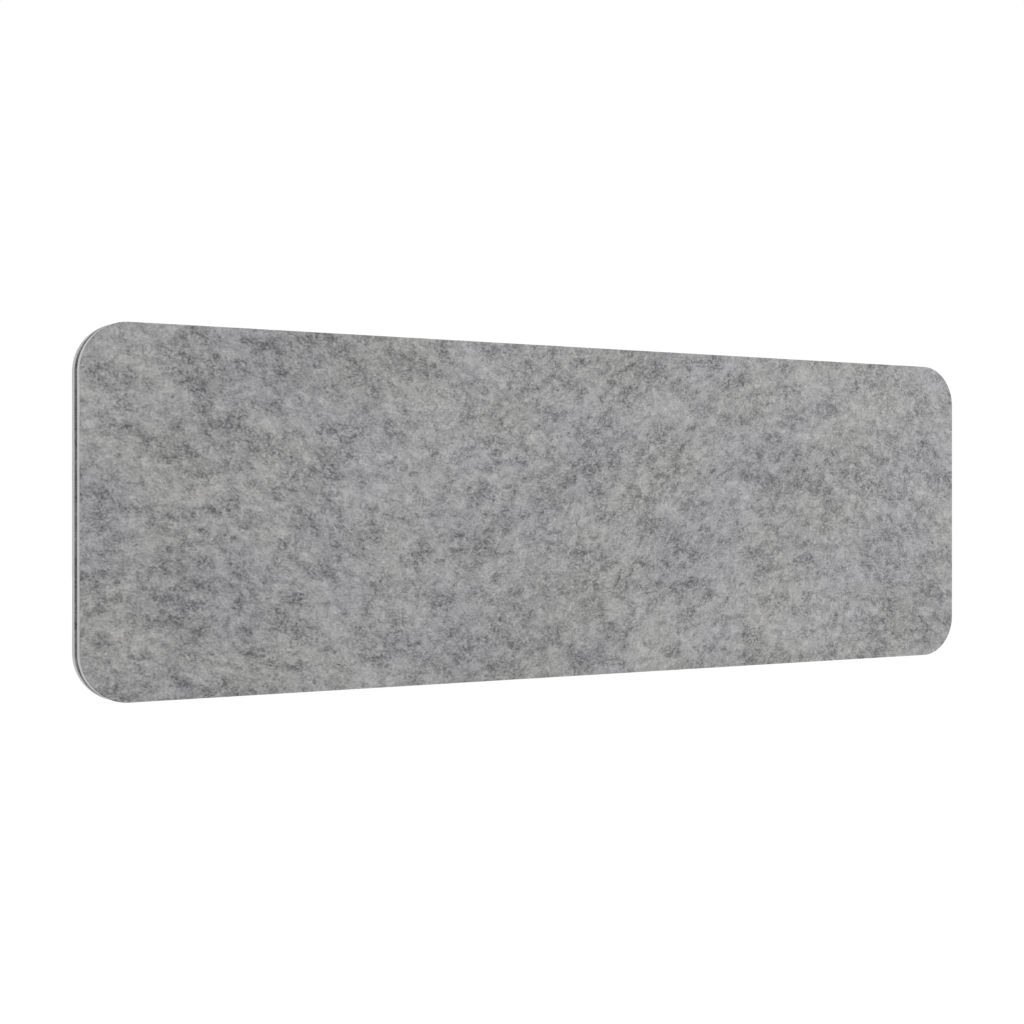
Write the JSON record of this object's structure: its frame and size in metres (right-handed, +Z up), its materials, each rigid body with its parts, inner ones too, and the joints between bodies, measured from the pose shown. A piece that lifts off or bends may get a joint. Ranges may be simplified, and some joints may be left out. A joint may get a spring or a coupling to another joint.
{
  "type": "acoustic divider screen",
  "caption": "Long, low desk divider with rounded corners: felt boards bonded to a hidden frame set back from their edges, which leaves an open groove all round.",
  "frame": {"origin": "middle of the bottom edge, halfway through the thickness", "axes": "+X along the width, +Y from the front felt board to the rear one, +Z up"},
  "size_m": [1.4, 0.03, 0.45],
  "materials": {
    "felt": "matte",
    "dyed_fibreboard": "matte",
    "plated_steel": "satin",
    "wadding": "matte"
  },
  "bodies": {
    "root": {"front_felt_board": "felt", "rear_felt_board": "felt", "top_rail": "dyed_fibreboard", "bottom_rail": "dyed_fibreboard", "left_stile": "dyed_fibreboard", "right_stile": "dyed_fibreboard", "top_left_corner_block": "dyed_fibreboard", "top_right_corner_block": "dyed_fibreboard", "bottom_left_corner_block": "dyed_fibreboard", "bottom_right_corner_block": "dyed_fibreboard", "left_bracket_post": "dyed_fibreboard", "right_bracket_post": "dyed_fibreboard", "left_barrel_nuts": "plated_steel", "right_barrel_nuts": "plated_steel", "left_infill": "wadding", "centre_infill": "wadding", "right_infill": "wadding"}
  },
  "joints": []
}
